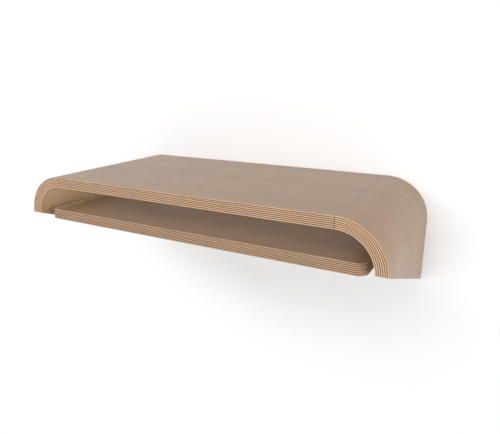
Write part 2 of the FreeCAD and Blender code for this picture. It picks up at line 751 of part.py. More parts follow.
def make_retainers(row):
    """The two thin strips that keep those balls at their spacing."""
    across, rise = BALL_PLACES[row]
    strips = []
    for sign in (1, -1):
        strip = add_sized("Part::Box", f"{row}_strip", Length="size.retainer_width",
                          Width="size.retainer_length", Height="size.retainer_thickness")
        place(strip, f"{across} - size.retainer_width / 2",
              "-size.retainer_start - size.retainer_length",
              f"{sign} * {rise} - size.retainer_thickness / 2")
        pockets = []
        for index in range(BALLS_IN_ROW):
            pocket = add_sized("Part::Cylinder", f"{row}_pocket_{index}",
                               Radius="size.ball_diameter / 2 + size.pocket_play",
                               Height="size.ball_diameter")
            pockets.append(place(pocket, across, f"-{ball_run(index)}",
                                 f"{sign} * {rise} - size.ball_diameter / 2"))
        doc.recompute()
        strips.append(cut(f"{row}_retainer_strip_{'lower' if sign < 0 else 'upper'}", strip, pockets))
    name = f"right_{row}_retainers"
    keep(name, seat_on_slide(group(name, strips)))


def make_slides():
    make_slide_members()
    make_spacer()
    make_bumper()
    for row in ("outer", "inner"):
        make_balls(row)
        make_retainers(row)
    for name in [name for name in nodes if name.startswith("right_")]:
        if name.replace("right", "left") not in nodes:
            mirror_to_left(name)


# ---------------------------------------------------------------- build, test and write

def check_document():
    """Stop if any object failed, or if a sub-part is empty or not a set of valid solids."""
    doc.recompute()
    for item in doc.Objects:
        if "Invalid" in item.State or "Error" in item.State:
            raise RuntimeError(f"{item.Name} failed: {item.State}")
    for name, part in nodes.items():
        shape = part.Shape
        if shape.isNull() or not shape.isValid() or not shape.Solids or shape.Volume <= 0:
            raise RuntimeError(f"{name} is not a valid solid")


def export_nodes():
    os.makedirs("parts", exist_ok=True)
    for name, part in nodes.items():
        part.Shape.exportStep(f"parts/{name}.step")
        box = part.Shape.BoundBox
        print(f"{name:22s} solids {len(part.Shape.Solids):3d}  volume {part.Shape.Volume:12.1f}  "
              f"x {box.XMin:8.2f} {box.XMax:8.2f}  y {box.YMin:8.2f} {box.YMax:8.2f}  "
              f"z {box.ZMin:8.2f} {box.ZMax:8.2f}")


fill_sheet()
make_seam_dowels()
make_back_dowels()
make_desk_cleat_screws()
make_slide_screws()
make_top_panel()
make_bent_side()
make_back_panel()
make_cleats()
make_tray()
make_slides()
check_document()
export_nodes()
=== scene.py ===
import math

import bmesh
import bpy
from bpy.props import FloatProperty, FloatVectorProperty, IntProperty, PointerProperty
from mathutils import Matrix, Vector


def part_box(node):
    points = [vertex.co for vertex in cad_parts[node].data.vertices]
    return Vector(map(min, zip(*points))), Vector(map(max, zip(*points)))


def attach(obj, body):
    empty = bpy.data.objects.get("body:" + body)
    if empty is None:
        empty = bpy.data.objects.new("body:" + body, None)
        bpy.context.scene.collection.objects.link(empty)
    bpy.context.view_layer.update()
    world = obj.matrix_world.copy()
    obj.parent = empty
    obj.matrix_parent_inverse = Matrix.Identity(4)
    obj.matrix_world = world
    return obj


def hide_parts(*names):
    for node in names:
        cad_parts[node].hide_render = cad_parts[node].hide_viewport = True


bl_info = {
    "name": "Floating Wall Desk",
    "version": (1, 0, 0),
    "blender": (4, 5, 0),
    "location": "View3D > Sidebar > Wall Desk",
    "description": "Dresses a wall-hung desk of bent plywood with a pull-out tray",
    "category": "Add Mesh",
}

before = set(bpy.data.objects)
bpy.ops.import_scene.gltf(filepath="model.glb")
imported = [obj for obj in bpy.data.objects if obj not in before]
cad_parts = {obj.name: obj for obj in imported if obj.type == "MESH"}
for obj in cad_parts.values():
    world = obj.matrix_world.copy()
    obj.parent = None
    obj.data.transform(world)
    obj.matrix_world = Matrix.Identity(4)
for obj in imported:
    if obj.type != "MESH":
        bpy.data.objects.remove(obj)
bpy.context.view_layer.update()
TOP_LOW, TOP_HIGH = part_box("top_panel")
SIDE_LOW, SIDE_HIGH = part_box("right_bent_side")
TRAY_LOW, TRAY_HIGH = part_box("tray_board")

THICKNESS = TOP_HIGH.z - TOP_LOW.z
SEAM_X = TOP_HIGH.x
BEND_RADIUS = SIDE_HIGH.x - SIDE_LOW.x
BEND_Z = TOP_HIGH.z - BEND_RADIUS
FRONT_Y = TOP_LOW.y
HANDS = (("right", 1), ("left", -1))
CLOSE = 1e-5

ARRIS_SEGMENTS = 3
CORNER_SEGMENTS = 14
SCREW_SIDES = 32
THREAD_CORE = 0.7
SCREW_TIP = 0.1
PAN_HEAD_STEPS = ((0.45, 1), (0.35, 0.86), (0.20, 0.7))
CLEAT_HEAD_BRIM = 0.1
SLIDE_SCREWS = 3
CLEAT_SCREWS = 5
BIRCH_PLY = 0.0015
TRAY_GRAIN_START = 2
SIDE_OVERRUN = 0.01
# Colour of the line at each butt joint: a dark glue joint with painted shadow of the joint's groove.
SEAM_GLUE_AND_SHADOW_TONE = (0.045, 0.030, 0.020)
PAINT_TONES = ((0.782, 0.787, 0.792), (0.802, 0.807, 0.812))
SHADE_SHAPE = (1.0, 1.0, 1.7)
WHITE = (1, 1, 1)
COOL_WHITE = (0.70, 0.90, 1.0)
WALL_GAP = 0.0015
WALL_WIDTH = 8
WALL_HEIGHT = 4


# ------------------------------------------------------------------ modelling by hand

def near(value, target):
    return abs(value - target) < CLOSE


def deselect_all():
    if bpy.context.object and bpy.context.object.mode != "OBJECT":
        bpy.ops.object.mode_set(mode="OBJECT")
    bpy.ops.object.select_all(action="DESELECT")


def select_only(piece):
    deselect_all()
    bpy.context.view_layer.objects.active = piece
    piece.select_set(True)


def name_new(name):
    """Name the piece that was just added, and bring its place into its mesh."""
    piece = bpy.context.object
    piece.name = name
    piece.data.name = name
    bpy.ops.object.transform_apply(location=True, rotation=True, scale=True)
    return piece


def add_block(name, low, high):
    deselect_all()
    middle = [(a + b) / 2 for a, b in zip(low, high)]
    spans = [b - a for a, b in zip(low, high)]
    bpy.ops.mesh.primitive_cube_add(size=1, location=middle, scale=spans)
    return name_new(name)


def add_plate(name, middle, turn, spans):
    """A flat rectangle, turned after its two spans are set."""
    deselect_all()
    bpy.ops.mesh.primitive_plane_add(size=1, location=middle, rotation=turn)
    bpy.context.object.scale = (*spans, 1)
    return name_new(name)


def edit(piece):
    select_only(piece)
    bpy.ops.object.mode_set(mode="EDIT")


def leave_edit():
    bpy.ops.object.mode_set(mode="OBJECT")


def pick(kind, wanted):
    """Select just the vertices, edges or faces that pass a test."""
    bpy.ops.mesh.select_mode(type=kind)
    bpy.ops.mesh.select_all(action="DESELECT")
    data = bpy.context.object.data
    mesh = bmesh.from_edit_mesh(data)
    for item in {"VERT": mesh.verts, "EDGE": mesh.edges, "FACE": mesh.faces}[kind]:
        if wanted(item):
            item.select_set(True)
    bmesh.update_edit_mesh(data)


def both_ends(edge, test):
    return all(test(vertex.co) for vertex in edge.verts)


def lies_square(edge, axis):
    """True for an edge that doesn't change along the axis 0, 1 or 2."""
    first, second = edge.verts
    return near(first.co[axis], second.co[axis])


def bevel_picked(offset, segments=ARRIS_SEGMENTS):
    bpy.ops.mesh.bevel(offset=offset, segments=segments, affect="EDGES")


def extrude_picked(*step):
    bpy.ops.mesh.extrude_region_move(TRANSFORM_OT_translate={"value": step})


def cut_across(point, normal, **keep):
    bpy.ops.mesh.select_mode(type="VERT")
    bpy.ops.mesh.select_all(action="SELECT")
    bpy.ops.mesh.bisect(plane_co=point, plane_no=normal, **keep)


def close_up():
    """Merge doubles and turn every face outwards."""
    bpy.ops.mesh.select_all(action="SELECT")
    bpy.ops.mesh.remove_doubles(threshold=CLOSE)
    bpy.ops.mesh.normals_make_consistent(inside=False)


def apply_modifier(piece, kind, **settings):
    select_only(piece)
    modifier = piece.modifiers.new(kind.title(), kind)
    for name, value in settings.items():
        setattr(modifier, name, value)
    bpy.ops.object.modifier_apply(modifier=modifier.name)


def smooth(piece, angle=32):
    select_only(piece)
    bpy.ops.object.shade_smooth_by_angle(angle=math.radians(angle))
    apply_modifier(piece, "WEIGHTED_NORMAL", keep_sharp=True)


def copy_piece(piece, name, offset=(0, 0, 0), turn=(0, 0, 0), mirror=False):
    """A copy with its own mesh, turned and moved, or mirrored in the plane X = 0."""
    select_only(piece)
    bpy.ops.object.duplicate(linked=False)
    twin = bpy.context.object
    twin.name = twin.data.name = name
    twin.rotation_euler = turn
    twin.location = offset
    if mirror:
        twin.scale.x = -1
    bpy.ops.object.transform_apply(location=True, rotation=True, scale=True)
    if mirror:
        edit(twin)
        close_up()
        leave_edit()
    return twin


def join_pieces(pieces, name):
    deselect_all()
    for piece in pieces:
        piece.select_set(True)
    bpy.context.view_layer.objects.active = pieces[0]
    if len(pieces) > 1:
        bpy.ops.object.join()
    pieces[0].name = pieces[0].data.name = name
    return pieces[0]


def paint(piece, material):
    piece.data.materials.clear()
    piece.data.materials.append(material)


def fit(piece, body, slot, material, *nodes):
    """Give a finished piece its finish and its body, in place of the nodes that it stands for."""
    paint(piece, material)
    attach(piece, body)
    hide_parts(*nodes)


def paint_nodes(material, *names):
    """Give nodes that keep their shape a better finish."""
    for name in names:
        paint(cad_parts[name], material)


def on_both_hands(*kinds):
    return [f"{hand}_{kind}" for hand, _ in HANDS for kind in kinds]


# ------------------------------------------------------------------ shader building

def opaque(colour, share=1.0):
    """A colour, or a darker or lighter one of its hue, as a socket takes it."""
    return (*(share * part for part in colour), 1)


def add_node(tree, kind, **settings):
    node = tree.nodes.new(kind)
    for name, value in settings.items():
        setattr(node, name, value)
    return node


def feed(tree, value, socket):
    """Link an output to a socket, or set the socket to a plain value."""
    if isinstance(value, bpy.types.NodeSocket):
        tree.links.new(value, socket)
    else:
        socket.default_value = value


def compute(tree, operation, *values, clamp=False):
    node = add_node(tree, "ShaderNodeMath", operation=operation, use_clamp=clamp)
    for index, value in enumerate(values):
        feed(tree, value, node.inputs[index])
    return node.outputs[0]


def centre(tree, value):
    """A value from 0 to 1, moved to lie as far below 0 as above it."""
    return compute(tree, "SUBTRACT", value, 0.5)


def remap(tree, value, low, high, to_low=0.0, to_high=1.0, smoothly=False):
    node = add_node(tree, "ShaderNodeMapRange")
    if smoothly:
        node.interpolation_type = "SMOOTHSTEP"
    for index, number in enumerate((value, low, high, to_low, to_high)):
        feed(tree, number, node.inputs[index])
    return node.outputs[0]


def blend_colours(tree, factor, first, second, mode="MIX"):
    node = add_node(tree, "ShaderNodeMix", data_type="RGBA", blend_type=mode)
    feed(tree, factor, node.inputs["Factor"])
    feed(tree, first, node.inputs["A"])
    feed(tree, second, node.inputs["B"])
    return node.outputs["Result"]


def stretched(tree, place, scale, offset=(0, 0, 0)):
    node = add_node(tree, "ShaderNodeMapping")
    feed(tree, place, node.inputs["Vector"])
    node.inputs["Scale"].default_value = scale
    node.inputs["Location"].default_value = offset
    return node.outputs[0]


def noise(tree, place, scale=1.0, detail=3.0, roughness=0.5, distortion=0.0):
    node = add_node(tree, "ShaderNodeTexNoise")
    feed(tree, place, node.inputs["Vector"])
    for name, value in (("Scale", scale), ("Detail", detail), ("Roughness", roughness),
                        ("Distortion", distortion)):
        feed(tree, value, node.inputs[name])
    return node.outputs[0]


def new_group(name, inputs, outputs):
    """An empty node group. Inputs and outputs are (name, kind) or (name, kind, default)."""
    group = bpy.data.node_groups.new(name, "ShaderNodeTree")
    for direction, sockets in (("INPUT", inputs), ("OUTPUT", outputs)):
        for name, kind, *default in sockets:
            socket = group.interface.new_socket(name, in_out=direction, socket_type="NodeSocket" + kind)
            if default:
                socket.default_value = default[0]
    start = add_node(group, "NodeGroupInput")
    end = add_node(group, "NodeGroupOutput")
    return group, start.outputs, end.inputs


def place_group(tree, name, **values):
    """Place a shared effect, which is built on its first use, with this material's own values."""
    group = bpy.data.node_groups.get(name) or EFFECTS[name](name)
    node = add_node(tree, "ShaderNodeGroup", node_tree=group)
    for name, value in values.items():
        feed(tree, value, node.inputs[name.replace("_", " ")])
    return node.outputs


def new_material(name, colour, roughness, metallic=0.0, **sockets):
    """A material whose shader has plain values, and its tree and shader."""
    material = bpy.data.materials.new(name)
    material.use_nodes = True
    material.diffuse_color = opaque(colour)
    tree = material.node_tree
    shader = tree.nodes["Principled BSDF"]
    shader.inputs["Base Color"].default_value = opaque(colour)
    shader.inputs["Roughness"].default_value = roughness
    shader.inputs["Metallic"].default_value = metallic
    for name, value in sockets.items():
        shader.inputs[name.replace("_", " ")].default_value = value
    return material, tree, shader.inputs


def raise_bumps(tree, sockets, height, strength, distance):
    bump = add_node(tree, "ShaderNodeBump")
    feed(tree, height, bump.inputs["Height"])
    bump.inputs["Strength"].default_value = strength
    bump.inputs["Distance"].default_value = distance
    tree.links.new(bump.outputs[0], sockets["Normal"])


def object_place(tree):
    return add_node(tree, "ShaderNodeTexCoord").outputs["Object"]


def board_place(tree):
    """Where a point lies on its board: along the grain, across it and below the face, in metres."""
    return add_node(tree, "ShaderNodeAttribute", attribute_name="board").outputs["Vector"]


def parts_of(tree, vector):
    node = add_node(tree, "ShaderNodeSeparateXYZ")
    feed(tree, vector, node.inputs[0])
    return node.outputs


def grey(tree, value):
    """A value as a colour of equal parts."""
    node = add_node(tree, "ShaderNodeCombineColor")
    for socket in node.inputs:
        feed(tree, value, socket)
    return node.outputs[0]


def seen_directly(tree):
    """1 for a ray that comes straight, or by a reflection or through glass, from the camera."""
    rays = add_node(tree, "ShaderNodeLightPath").outputs
    return compute(tree, "ADD", rays["Is Camera Ray"],
                   compute(tree, "ADD", rays["Is Glossy Ray"], rays["Is Transmission Ray"]), clamp=True)


def turned_place(tree, order):
    """The place with its axes taken in another order, so that the grain's x runs along another one."""
    parts = parts_of(tree, object_place(tree))
    node = add_node(tree, "ShaderNodeCombineXYZ")
    for socket, axis in zip(node.inputs, order):
        feed(tree, parts["XYZ".index(axis)], socket)
    return node.outputs[0]


# ------------------------------------------------------------------ shared effects

def make_grain(name):
    """Sliced veneer: slow figure, straight streaks and short dark pores along x."""
    group, given, out = new_group(
        name,
        [("Place", "Vector"), ("Figure", "Float", 1.0), ("Pores", "Float", 1.0)],
        [("Tone", "Float"), ("Pore", "Float"), ("Height", "Float")])
    place = given["Place"]
    figure = noise(group, stretched(group, place, (1.1, 7.0, 7.0)), detail=4.0, roughness=0.55,
                   distortion=0.6)
    streak = noise(group, stretched(group, place, (5.0, 170.0, 170.0)), detail=4.0, roughness=0.6,
                   distortion=0.2)
    fine = noise(group, stretched(group, place, (30.0, 900.0, 900.0)), detail=2.0)
    pore = noise(group, stretched(group, place, (70.0, 2100.0, 2100.0)), detail=1.0)
    pore = compute(group, "MULTIPLY", remap(group, pore, 0.60, 0.72, smoothly=True), given["Pores"])
    tone = compute(group, "MULTIPLY_ADD", centre(group, figure), given["Figure"], 0.5)
    tone = compute(group, "MULTIPLY_ADD", centre(group, streak), 0.55, tone)
    tone = compute(group, "MULTIPLY_ADD", centre(group, fine), 0.25, tone, clamp=True)
    height = compute(group, "MULTIPLY_ADD", pore, -1.0, compute(group, "MULTIPLY", fine, 0.4))
    feed(group, tone, out["Tone"])
    feed(group, pore, out["Pore"])
    feed(group, height, out["Height"])
    return group


def make_plies(name):
    """The lamination seen on a cut edge: face skins, light and dark plies, and their glue lines."""
    group, given, out = new_group(
        name,
        [("Depth", "Float"), ("Wander", "Float"), ("Thickness", "Float"),
         ("Skin", "Float"), ("Count", "Float")],
        [("Edge", "Float"), ("Dark", "Float"), ("Glue", "Float"), ("Shift", "Float")])
    inner = compute(group, "SUBTRACT", given["Thickness"],
                    compute(group, "MULTIPLY", given["Skin"], 2.0))
    depth = compute(group, "ADD", given["Depth"], given["Wander"])
    count = compute(group, "DIVIDE", compute(group, "SUBTRACT", depth, given["Skin"]), inner)
    count = compute(group, "MULTIPLY", count, given["Count"])
    whole = compute(group, "FLOOR", count)
    part = compute(group, "FRACT", count)
    parity = compute(group, "ABSOLUTE", compute(group, "MODULO", whole, 2.0))
    nearest = compute(group, "MINIMUM", part, compute(group, "SUBTRACT", 1.0, part))
    glue = remap(group, nearest, 0.02, 0.13, 1.0, 0.0, smoothly=True)
    plain = compute(group, "SUBTRACT", given["Depth"], given["Skin"])
    from_face = compute(group, "MINIMUM", plain, compute(group, "SUBTRACT", inner, plain))
    edge = remap(group, from_face, -0.00012, 0.00008, smoothly=True)
    random = add_node(group, "ShaderNodeTexWhiteNoise", noise_dimensions="1D")
    feed(group, whole, random.inputs["W"])
    feed(group, edge, out["Edge"])
    feed(group, parity, out["Dark"])
    feed(group, glue, out["Glue"])
    feed(group, random.outputs[0], out["Shift"])
    return group


def make_handling(name):
    """Handling: faint cloudy marks, a little dust, and the softness that they give to the gloss."""
    group, given, out = new_group(
        name, [("Place", "Vector"), ("Amount", "Float", 1.0)],
        [("Cloud", "Float"), ("Gloss", "Float")])
    cloud = centre(group, noise(group, given["Place"], 9.0, detail=4.0, roughness=0.6))
    smear = noise(group, stretched(group, given["Place"], (30.0, 60.0, 60.0)), distortion=1.0)
    feed(group, compute(group, "MULTIPLY", cloud, given["Amount"]), out["Cloud"])
    both = compute(group, "ADD", cloud, centre(group, smear))
    feed(group, compute(group, "MULTIPLY", both, given["Amount"]), out["Gloss"])
    return group


def make_rolling(name):
    """Rolled and plated metal: lines along x, cloudy plating and a few small pits."""
    group, given, out = new_group(
        name, [("Place", "Vector"), ("Lines", "Float", 1.0), ("Clouds", "Float", 1.0)],
        [("Tone", "Float"), ("Height", "Float")])
    place = given["Place"]
    lines = noise(group, stretched(group, place, (12.0, 1400.0, 1400.0)), roughness=0.6)
    clouds = noise(group, place, 260.0, roughness=0.6, distortion=0.8)
    pits = remap(group, noise(group, place, 2600.0, detail=1.0), 0.66, 0.76)
    lined = compute(group, "MULTIPLY", centre(group, lines), given["Lines"])
    clouded = compute(group, "MULTIPLY", centre(group, clouds), given["Clouds"])
    feed(group, compute(group, "ADD", compute(group, "ADD", lined, clouded), 0.5, clamp=True), out["Tone"])
    feed(group, compute(group, "MULTIPLY_ADD", pits, -1.0, lined), out["Height"])
    return group


EFFECTS = {"Wood grain": make_grain, "Plies": make_plies, "Handling": make_handling,
           "Rolling": make_rolling}


# ------------------------------------------------------------------ settings

def length_setting(name, description, default):
    return FloatProperty(name=name, description=description, default=default, unit="LENGTH",
                         precision=5)


def colour_setting(name, description, default):
    return FloatVectorProperty(name=name, description=description, default=default, size=3,
                               subtype="COLOR", min=0, max=1)


def power_setting(name, description, default):
    return FloatProperty(name=name, description=description, default=default, min=0, unit="POWER")


def strength_setting(name, description, default):
    return FloatProperty(name=name, description=description, default=default, min=0)


class DeskSizes(bpy.types.PropertyGroup):
    drop_front: length_setting("Front drop", "Desk top to the side's lower edge, at the front", 0.111)
    tray_corner: length_setting("Tray corner", "Radius of the tray's front corners", 0.024)
    arris: length_setting("Arris", "Radius on the edges that a hand meets", 0.001)
    seam_bevel: length_setting("Seam bevel", "Bevel along the butt joints", 0.0005)
    skin: length_setting("Face veneer", "Thickness of the veneer on each face", 0.0006)
    relief: length_setting("Ply relief", "How far the glue lines lie below the plies on an edge", 0.00008)
    plies: IntProperty(name="Plies", description="Plies between the face veneers", default=13, min=3)
    screw_shank: length_setting("Screw shank", "Diameter of a screw's thread", 0.0036)
    screw_pitch: length_setting("Screw pitch", "From one turn of the thread to the next", 0.0014)
    screw_head: length_setting("Pan head", "Height of a pan head", 0.0018)
    screw_recess: length_setting("Cross recess", "From arm tip to arm tip of the recess", 0.0042)
    bend_steps: IntProperty(name="Bend steps", description="Facets round the bend", default=36, min=8)


class DeskFinishes(bpy.types.PropertyGroup):
    veneer: colour_setting("Veneer", "The face veneer's middle tone", (0.355, 0.212, 0.113))
    veneer_dark: colour_setting("Veneer streaks", "The face veneer's darker streaks", (0.276, 0.160, 0.082))
    ply_light: colour_setting("Long-grain plies", "Plies whose grain runs along the edge",
                              (0.600, 0.386, 0.232))
    ply_dark: colour_setting("Cross plies", "Plies cut across the grain", (0.105, 0.054, 0.024))
    glue: colour_setting("Glue line", "Line between two plies", (0.170, 0.095, 0.048))
    birch: colour_setting("Birch", "Faces of the hidden boards", (0.600, 0.452, 0.300))
    beech: colour_setting("Beech", "Dowels and spacers", (0.560, 0.360, 0.215))
    zinc: colour_setting("Zinc plate", "Slide members", (0.600, 0.610, 0.620))
    retainer: colour_setting("Bare steel", "Ball retainers", (0.430, 0.430, 0.435))
    ball: colour_setting("Ball steel", "Balls", (0.720, 0.725, 0.735))
    screw: colour_setting("Passivated zinc", "Screws", (0.640, 0.600, 0.500))
    rubber: colour_setting("Rubber", "Stops of the slides", (0.022, 0.022, 0.023))


class DeskStage(bpy.types.PropertyGroup):
    lens: FloatProperty(name="Lens", description="Focal length on a 36 mm sensor", default=34.26, min=1)
    camera: FloatVectorProperty(name="Camera", description="Where the camera stands", size=3,
                                default=(0.6731, -1.3301, 0.3763), subtype="TRANSLATION", unit="LENGTH")
    turn: FloatProperty(name="Turn", description="How far the camera is turned to the left",
                        default=0.494, subtype="ANGLE")
    tilt: FloatProperty(name="Tilt", description="How far the camera looks down", default=0.285,
                        subtype="ANGLE")
    key: power_setting("Key light", "The lamp at the upper left", 25.0)
    high: power_setting("High light", "The soft lamp above and in front", 22.0)
    front: power_setting("Front light", "The low lamp in front, which reaches into the slot", 25.0)
    side: power_setting("Side light", "The low fill lamp at the right", 26.5)
    slot: power_setting("Slot light", "The faint fill light under the top", 0.38)
    slot_end: power_setting("Slot end light", "The faint cool light on the left side's inner face", 0.09)
    bend: power_setting("Bend light", "The faint fill light under each bend", 0.012)
    sky: strength_setting("Sky", "The even light all round", 0.52)
    wall_glow: strength_setting("Wall glow", "White added to the wall near the desk, for the camera",
                                0.065)
    floor_glow: strength_setting("Floor glow", "White added to the floor near the desk", 0.36)
    shade_reach: length_setting("Shade reach", "Distance at which the paint starts to turn white", 0.52)
    shade_shift: length_setting("Shade shift", "How far right of the desk's middle the reach is centred",
                                0.30)
    floor_drop: length_setting("Floor", "Desk top to the floor", 0.75)


def sizes():
    return bpy.context.scene.desk_sizes


def finishes():
    return bpy.context.scene.desk_finishes


def stage_settings():
    return bpy.context.scene.desk_stage


# ------------------------------------------------------------------ finishes

def veneered_plywood(name, tone):
    """Grey-brown veneer under matt lacquer on the faces, bare plies on every cut edge. Tone scales the
    whole board's colour: above 1 it is painted light, below 1 painted shade.
    """
    look, size = finishes(), sizes()
    material, tree, sockets = new_material(name, look.veneer, 0.42)
    place = board_place(tree)
    along, _, depth = parts_of(tree, place)
    grain = place_group(tree, "Wood grain", Place=place, Figure=0.9)
    wander = noise(tree, stretched(tree, place, (9.0, 9.0, 60.0)), detail=2.0)
    wander = remap(tree, wander, 0.3, 0.7, -0.00016, 0.00016)
    plies = place_group(tree, "Plies", Depth=depth, Wander=wander,
                        Thickness=THICKNESS, Skin=size.skin, Count=float(size.plies))
    wear = place_group(tree, "Handling", Place=place, Amount=1.0)

    face = blend_colours(tree, remap(tree, grain["Tone"], 0.25, 0.75), opaque(look.veneer_dark),
                         opaque(look.veneer))
    face = blend_colours(tree, compute(tree, "MULTIPLY", grain["Pore"], 0.35), face, opaque(look.glue))
    fibre = noise(tree, stretched(tree, place, (60.0, 60.0, 1800.0)), detail=2.0)
    dots = noise(tree, stretched(tree, place, (1500.0, 1500.0, 1500.0)), detail=2.0)
    light = blend_colours(tree, remap(tree, fibre, 0.35, 0.7), opaque(look.ply_light),
                          opaque(look.ply_light, 0.88))
    dark = blend_colours(tree, remap(tree, dots, 0.35, 0.7), opaque(look.ply_dark),
                         opaque(look.ply_dark, 0.78))
    edge = blend_colours(tree, plies["Dark"], light, dark)
    edge = blend_colours(tree, compute(tree, "MULTIPLY", plies["Shift"], 0.16), edge,
                         opaque(look.ply_dark))
    edge = blend_colours(tree, compute(tree, "MULTIPLY", plies["Glue"], 0.75), edge, opaque(look.glue))
    mixed = blend_colours(tree, plies["Edge"], face, edge)

    # A dark line along each butt joint, stronger on the cut edges than on the faces: partly a dark glue
    # joint, partly painted shadow in the joint's groove.
    past_seam = compute(tree, "SUBTRACT", compute(tree, "ABSOLUTE", along), SEAM_X)
    from_seam = compute(tree, "ABSOLUTE", past_seam)
    seam = compute(tree, "MULTIPLY", remap(tree, from_seam, 0.00045, 0.00095, 1.0, 0.0, smoothly=True),
                   remap(tree, plies["Edge"], 0.0, 1.0, 0.35, 0.80))
    mixed = blend_colours(tree, seam, mixed, opaque(SEAM_GLUE_AND_SHADOW_TONE))
    # Faint handling marks, added to the board's tone, which paints light or shade on the whole board.
    tint = compute(tree, "MULTIPLY_ADD", wear["Cloud"], 0.22, tone)
    mixed = blend_colours(tree, 1.0, mixed, grey(tree, tint), mode="MULTIPLY")
    feed(tree, mixed, sockets["Base Color"])

    rough = remap(tree, plies["Edge"], 0.0, 1.0, 0.40, 0.58)
    feed(tree, compute(tree, "MULTIPLY_ADD", wear["Gloss"], 0.16, rough), sockets["Roughness"])
    feed(tree, remap(tree, plies["Edge"], 0.0, 1.0, 0.15, 0.05), sockets["Coat Weight"])
    sockets["Coat Roughness"].default_value = 0.22
    height = compute(tree, "MULTIPLY_ADD", plies["Glue"], compute(tree, "MULTIPLY", plies["Edge"], -1.5),
                     grain["Height"])
    raise_bumps(tree, sockets, height, 0.35, 0.0001)
    return material


def birch_plywood():
    """Sanded birch boards whose plies lie one behind the other, from the wall to the front."""
    look = finishes()
    material, tree, sockets = new_material("birch_plywood_finish", look.birch, 0.6)
    place = object_place(tree)
    grain = place_group(tree, "Wood grain", Place=place, Figure=1.3, Pores=0.4)
    ply = compute(tree, "DIVIDE", parts_of(tree, place)[1], BIRCH_PLY)
    part = compute(tree, "FRACT", ply)
    parity = compute(tree, "ABSOLUTE", compute(tree, "MODULO", compute(tree, "FLOOR", ply), 2.0))
    glue = remap(tree, compute(tree, "MINIMUM", part, compute(tree, "SUBTRACT", 1.0, part)),
                 0.02, 0.16, 1.0, 0.0)
    normal = add_node(tree, "ShaderNodeNewGeometry").outputs["Normal"]
    turned = compute(tree, "ABSOLUTE", parts_of(tree, normal)[1])
    cut = remap(tree, turned, 0.55, 0.62, 1.0, 0.0)
    face = blend_colours(tree, remap(tree, grain["Tone"], 0.2, 0.8), opaque(look.birch, 0.80),
                         opaque(look.birch))
    edge = blend_colours(tree, parity, opaque(look.ply_light), opaque(look.ply_dark))
    edge = blend_colours(tree, compute(tree, "MULTIPLY", glue, 0.6), edge, opaque(look.glue))
    feed(tree, blend_colours(tree, cut, face, edge), sockets["Base Color"])
    feed(tree, remap(tree, grain["Tone"], 0.0, 1.0, 0.52, 0.68), sockets["Roughness"])
    raise_bumps(tree, sockets, grain["Height"], 0.4, 0.0001)
    return material


def beech(name, order):
    """Planed beech with short dark rays, its grain along the first axis named."""
    look = finishes()
    material, tree, sockets = new_material(name, look.beech, 0.6)
    place = turned_place(tree, order)
    grain = place_group(tree, "Wood grain", Place=place, Figure=0.8, Pores=0.3)
    rays = noise(tree, stretched(tree, place, (350.0, 1500.0, 1500.0)), detail=1.0)
    rays = remap(tree, rays, 0.60, 0.70, 0.0, 0.35)
    plain = blend_colours(tree, remap(tree, grain["Tone"], 0.2, 0.8), opaque(look.beech, 0.80),
                          opaque(look.beech))
    feed(tree, blend_colours(tree, rays, plain, opaque(look.beech, 0.50)), sockets["Base Color"])
    feed(tree, remap(tree, grain["Tone"], 0.0, 1.0, 0.50, 0.66), sockets["Roughness"])
    raise_bumps(tree, sockets, grain["Height"], 0.4, 0.0001)
    return material


def metal(name, colour, roughness, lines, clouds):
    """Rolled or plated metal, its lines along the slide."""
    material, tree, sockets = new_material(name, colour, roughness, 1.0)
    skin = place_group(tree, "Rolling", Place=turned_place(tree, "YXZ"), Lines=lines, Clouds=clouds)
    feed(tree, blend_colours(tree, skin["Tone"], opaque(colour, 0.78), opaque(colour)),
         sockets["Base Color"])
    feed(tree, remap(tree, skin["Tone"], 0.0, 1.0, roughness + 0.10, roughness - 0.06),
         sockets["Roughness"])
    raise_bumps(tree, sockets, skin["Height"], 0.25, 0.00005)
    return material


def stop_rubber():
    """Black moulded rubber with a fine grain."""
    black = finishes().rubber
    material, tree, sockets = new_material("stop_rubber", black, 0.75)
    place = object_place(tree)
    bloom = noise(tree, place, 120.0)
    feed(tree, blend_colours(tree, remap(tree, bloom, 0.35, 0.75), opaque(black), opaque(black, 1.8)),
         sockets["Base Color"])
    feed(tree, remap(tree, bloom, 0.0, 1.0, 0.62, 0.86), sockets["Roughness"])
    raise_bumps(tree, sockets, noise(tree, place, 2200.0, detail=2.0), 0.3, 0.0001)
    return material


# ------------------------------------------------------------------ boards

def side_place(point):
    """Along the outer face from the desk's middle, across the desk, and below that face."""
    across = abs(point.x) - SEAM_X
    hand = math.copysign(1, point.x)
    if across <= 0:
        return hand * abs(point.x), point.y, TOP_HIGH.z - point.z
    up = point.z - BEND_Z
    if up >= 0:
        angle = math.atan2(across, up)
        return hand * (SEAM_X + BEND_RADIUS * angle), point.y, BEND_RADIUS - math.hypot(across, up)
    run = SEAM_X + BEND_RADIUS * math.pi / 2 - up
    return hand * run, point.y, BEND_RADIUS - across


def tray_place(point):
    """As side_place, but on a stretch of grain that the other boards don't use."""
    return point.x + TRAY_GRAIN_START, point.y, tray_depth(point)


def write_places(piece, place_of):
    """Store each vertex's place on its board, which the grain and the plies follow."""
    attribute = piece.data.attributes.new("board", "FLOAT_VECTOR", "POINT")
    for vertex, item in zip(piece.data.vertices, attribute.data):
        item.vector = place_of(vertex.co)


def top_depth(point):
    return TOP_HIGH.z - point.z


def side_depth(point):
    return side_place(point)[2]


def tray_depth(point):
    return TRAY_HIGH.z - point.z


def on_a_face(depth):
    return near(depth, 0) or near(depth, THICKNESS)


def at_desk_front(point):
    return near(point.y, FRONT_Y)


